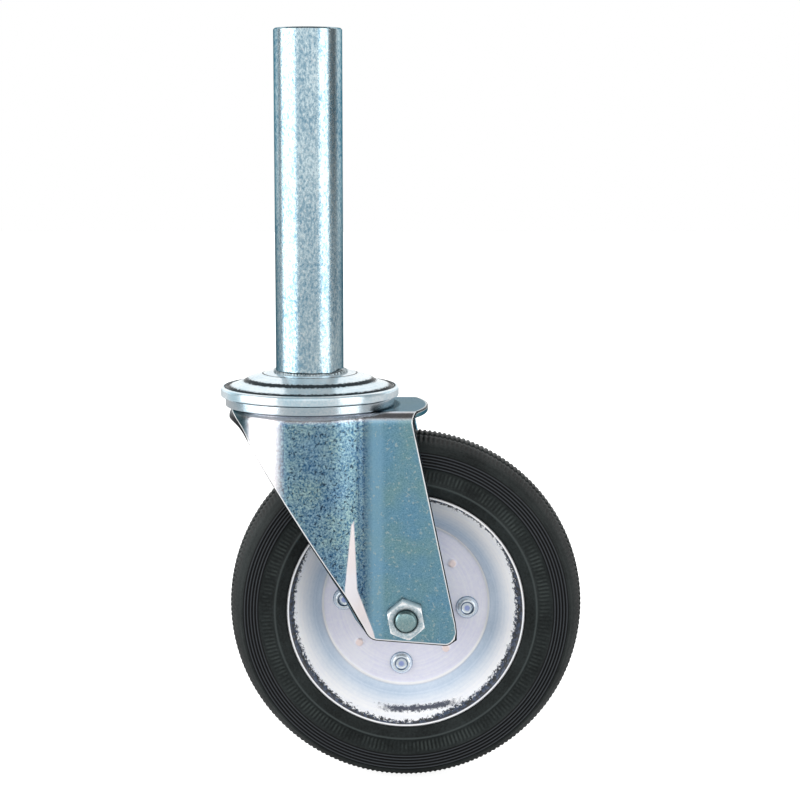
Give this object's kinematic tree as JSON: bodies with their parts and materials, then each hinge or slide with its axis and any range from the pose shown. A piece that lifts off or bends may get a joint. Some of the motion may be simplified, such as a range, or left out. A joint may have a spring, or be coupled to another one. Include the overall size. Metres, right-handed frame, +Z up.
{
  "type": "scaffold castor",
  "caption": "Swivel castor with a tube spigot for a scaffold leg, a pressed steel fork and a solid rubber tyre on a riveted steel rim.",
  "frame": {"origin": "centre of the spigot tube's foot, where it stands on the swivel head", "axes": "+Z up the spigot along the swivel axis, +X the way the wheel trails, -Y the side with the axle nut"},
  "size_m": [0.204, 0.1, 0.423],
  "materials": {
    "zinc_tube": "bright zinc plate, satin",
    "weld": "zinc plate over a weld bead",
    "bright_zinc": "bright zinc plate, smooth",
    "zinc_sheet": "blue-white zinc plate, fine speckle",
    "zinc_fastener": "zinc plate",
    "rim_zinc": "bright zinc plate, smooth",
    "steel": "plain steel",
    "ball_steel": "polished",
    "black_rubber": "moulded, semi-matt",
    "nylon": "moulded"
  },
  "bodies": {
    "stem": {"stem_tube": "zinc_tube", "stem_weld": "weld", "head_cap": "bright_zinc", "kingpin": "steel", "kingpin_nut": "steel", "lower_cup": "steel"},
    "fork": {"race_ring": "bright_zinc", "main_balls": "ball_steel", "lower_balls": "ball_steel", "fork_shell": "zinc_sheet", "axle_bolt": "steel", "axle_nut": "zinc_fastener", "axle_sleeve": "steel", "side_washers": "steel"},
    "wheel": {"tyre": "black_rubber", "rim_near": "rim_zinc", "rim_far": "rim_zinc", "rim_rivets": "zinc_fastener", "hub_tube": "steel", "dust_caps": "bright_zinc", "roller_cage": "nylon", "rollers": "ball_steel"}
  },
  "joints": [
    {"name": "swivel", "type": "hinge", "parent": "stem", "child": "fork", "pos_m": [0, 0, 0], "axis": [0, 0, 1], "continuous": true},
    {"name": "wheel_spin", "type": "hinge", "parent": "fork", "child": "wheel", "pos_m": [0.054, 0, -0.133], "axis": [0, 1, 0], "continuous": true}
  ]
}
